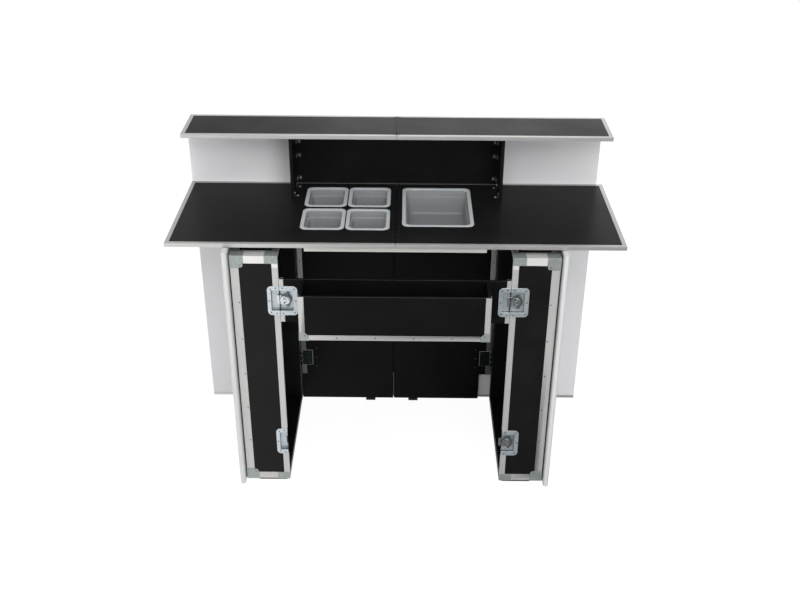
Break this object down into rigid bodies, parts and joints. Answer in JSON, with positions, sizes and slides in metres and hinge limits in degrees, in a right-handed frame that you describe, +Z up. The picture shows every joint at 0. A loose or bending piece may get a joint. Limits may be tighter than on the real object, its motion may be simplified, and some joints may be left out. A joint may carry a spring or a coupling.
{
  "type": "portable folding bar",
  "caption": "Portable bar with flight-case legs, white guest panels, a black work counter with drop-in pans, a latched bottle trough and a raised guest top.",
  "frame": {"origin": "on the floor, at the middle of the bar's footprint box", "axes": "+X along the bar to the bartender's right, +Y from the bartender to the guests, +Z up"},
  "size_m": [1.638, 0.7416, 1.3203],
  "materials": {
    "black_board": "satin black phenolic film on plywood",
    "black_laminate": "fine textured black laminate",
    "white_panel": "matt white melamine board",
    "aluminium_profile": "satin anodised",
    "aluminium_bare": "mill finish",
    "zinc_steel": "zinc-plated pressed steel",
    "pan_plastic": "milky translucent polypropylene",
    "rubber": "matt black",
    "black_plastic": "matt black"
  },
  "bodies": {
    "bar_frame": {"case_side_board_left": "black_board", "case_side_board_right": "black_board", "case_end_boards": "black_board", "case_cap_boards": "black_board", "case_edge_angles": "aluminium_profile", "case_rim_profiles": "aluminium_profile", "case_corner_plates": "zinc_steel", "rivets": "zinc_steel", "feet": "rubber", "latch_dishes": "zinc_steel", "latch_catches": "zinc_steel", "trough_back_board": "black_board", "trough_front_board": "black_board", "trough_floor_board": "black_board", "trough_end_boards": "black_board", "trough_edge_profiles": "aluminium_profile", "trough_corner_plates": "zinc_steel", "middle_board_left": "black_board", "middle_board_right": "black_board", "fold_hinges": "zinc_steel", "middle_edge_strips": "aluminium_profile", "front_panel_left": "white_panel", "front_panel_centre": "white_panel", "front_panel_right": "white_panel", "front_panel_channels": "aluminium_profile", "side_panel_left": "white_panel", "side_panel_right": "white_panel", "panel_spacers": "black_plastic"},
    "work_counter": {"counter_board_left": "black_laminate", "counter_board_right": "black_laminate", "counter_edge_profiles": "aluminium_profile", "counter_hinge": "zinc_steel", "counter_battens": "black_board", "counter_stiffener": "aluminium_bare"},
    "riser_and_top": {"riser_back_board": "black_board", "riser_cheek_left": "black_board", "riser_cheek_right": "black_board", "riser_brackets": "zinc_steel", "upper_panel_left": "white_panel", "upper_panel_right": "white_panel", "top_board_right": "black_laminate", "top_edge_profile_right": "aluminium_profile", "top_hinge_leaf_right": "zinc_steel"},
    "top_left_half": {"top_board_left": "black_laminate", "top_edge_profile_left": "aluminium_profile", "top_hinge_leaf_left": "zinc_steel"},
    "pan_outer_front": {"pan_outer_front": "pan_plastic"},
    "pan_outer_back": {"pan_outer_back": "pan_plastic"},
    "pan_inner_front": {"pan_inner_front": "pan_plastic"},
    "pan_inner_back": {"pan_inner_back": "pan_plastic"},
    "pan_large": {"pan_large": "pan_plastic"},
    "latch_spindle_upper_left": {"latch_spindle_upper_left": "zinc_steel"},
    "latch_bow_upper_left": {"latch_bow_upper_left": "zinc_steel"},
    "latch_hook_upper_left": {"latch_hook_upper_left": "zinc_steel"},
    "latch_spindle_upper_right": {"latch_spindle_upper_right": "zinc_steel"},
    "latch_bow_upper_right": {"latch_bow_upper_right": "zinc_steel"},
    "latch_hook_upper_right": {"latch_hook_upper_right": "zinc_steel"},
    "latch_spindle_lower": {"latch_spindle_lower": "zinc_steel"},
    "latch_bow_lower": {"latch_bow_lower": "zinc_steel"},
    "latch_hook_lower": {"latch_hook_lower": "zinc_steel"}
  },
  "joints": [
    {"name": "counter_lift", "type": "slide", "parent": "bar_frame", "child": "work_counter", "axis": [0, 0, 1], "range_m": [0, 0.15]},
    {"name": "riser_lift", "type": "slide", "parent": "work_counter", "child": "riser_and_top", "axis": [0, 0, 1], "range_m": [0, 0.25]},
    {"name": "top_fold", "type": "hinge", "parent": "riser_and_top", "child": "top_left_half", "pos_m": [0, 0.26075, 1.3183], "axis": [0, 1, 0], "range_deg": [0, 180]},
    {"name": "pan_outer_front_lift", "type": "slide", "parent": "work_counter", "child": "pan_outer_front", "axis": [0, 0, 1], "range_m": [0, 0.12]},
    {"name": "pan_outer_back_lift", "type": "slide", "parent": "work_counter", "child": "pan_outer_back", "axis": [0, 0, 1], "range_m": [0, 0.12]},
    {"name": "pan_inner_front_lift", "type": "slide", "parent": "work_counter", "child": "pan_inner_front", "axis": [0, 0, 1], "range_m": [0, 0.12]},
    {"name": "pan_inner_back_lift", "type": "slide", "parent": "work_counter", "child": "pan_inner_back", "axis": [0, 0, 1], "range_m": [0, 0.12]},
    {"name": "pan_large_lift", "type": "slide", "parent": "work_counter", "child": "pan_large", "axis": [0, 0, 1], "range_m": [0, 0.12]},
    {"name": "upper_left_spindle_turn", "type": "hinge", "parent": "bar_frame", "child": "latch_spindle_upper_left", "pos_m": [-0.399, -0.23975, 0.831], "axis": [0, 1, 0], "range_deg": [0, 180]},
    {"name": "upper_left_bow_flip", "type": "hinge", "parent": "latch_spindle_upper_left", "child": "latch_bow_upper_left", "pos_m": [-0.399, -0.24035, 0.831], "axis": [0, 0, -1], "range_deg": [0, 90]},
    {"name": "upper_left_hook_slide", "type": "slide", "parent": "bar_frame", "child": "latch_hook_upper_left", "axis": [-1, 0, 0], "range_m": [0, 0.0061]},
    {"name": "upper_right_spindle_turn", "type": "hinge", "parent": "bar_frame", "child": "latch_spindle_upper_right", "pos_m": [0.437, -0.23975, 0.831], "axis": [0, 1, 0], "range_deg": [0, 180]},
    {"name": "upper_right_bow_flip", "type": "hinge", "parent": "latch_spindle_upper_right", "child": "latch_bow_upper_right", "pos_m": [0.437, -0.24035, 0.831], "axis": [0, 0, -1], "range_deg": [0, 90]},
    {"name": "upper_right_hook_slide", "type": "slide", "parent": "bar_frame", "child": "latch_hook_upper_right", "axis": [-1, 0, 0], "range_m": [0, 0.0061]},
    {"name": "lower_spindle_turn", "type": "hinge", "parent": "bar_frame", "child": "latch_spindle_lower", "pos_m": [0.437, -0.23975, 0.197], "axis": [0, 1, 0], "range_deg": [0, 180]},
    {"name": "lower_bow_flip", "type": "hinge", "parent": "latch_spindle_lower", "child": "latch_bow_lower", "pos_m": [0.437, -0.24035, 0.197], "axis": [0, 0, -1], "range_deg": [0, 90]},
    {"name": "lower_hook_slide", "type": "slide", "parent": "bar_frame", "child": "latch_hook_lower", "axis": [-1, 0, 0], "range_m": [0, 0.0061]}
  ],
  "couplings": [
    {"joint": "upper_left_hook_slide", "follows": "upper_left_spindle_turn", "m_per_rad": 0.0019099},
    {"joint": "upper_right_hook_slide", "follows": "upper_right_spindle_turn", "m_per_rad": 0.0019099},
    {"joint": "lower_hook_slide", "follows": "lower_spindle_turn", "m_per_rad": 0.0019099}
  ]
}
